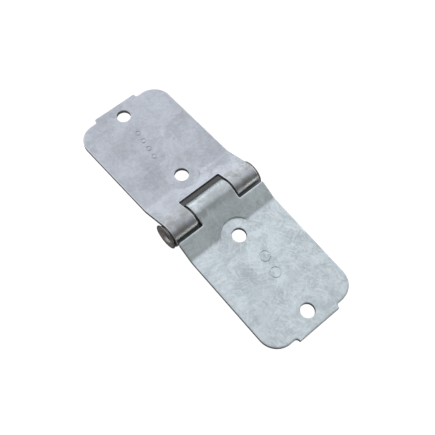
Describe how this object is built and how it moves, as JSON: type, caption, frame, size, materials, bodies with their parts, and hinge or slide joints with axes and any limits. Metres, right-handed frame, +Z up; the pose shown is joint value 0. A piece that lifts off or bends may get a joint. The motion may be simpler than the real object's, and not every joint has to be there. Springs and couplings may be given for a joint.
{
  "type": "strap hinge",
  "caption": "Three-knuckle sheet-steel strap hinge: two long raised leaves with holes, turning on a hollow pin with flared ends.",
  "frame": {"origin": "middle of the hollow pin's bore, on the pin's axis", "axes": "+X along the pin; +Y out along the fork leaf, whose plate is level; +Z up, towards the side the leaves are raised on"},
  "size_m": [0.0665, 0.1843, 0.0223],
  "materials": {
    "fork_leaf_steel": "zinc-plated sheet, satin with faint mottling",
    "tongue_leaf_steel": "zinc-plated sheet, satin with faint mottling",
    "pin_steel": "zinc-plated tube, satin"
  },
  "bodies": {
    "fork": {"fork_leaf": "fork_leaf_steel", "hollow_pin": "pin_steel"},
    "tongue": {"tongue_leaf": "tongue_leaf_steel"}
  },
  "joints": [
    {"name": "leaf_pivot", "type": "hinge", "parent": "fork", "child": "tongue", "pos_m": [0, 0, 0], "axis": [1, 0, 0], "range_deg": [-115, 150]}
  ]
}
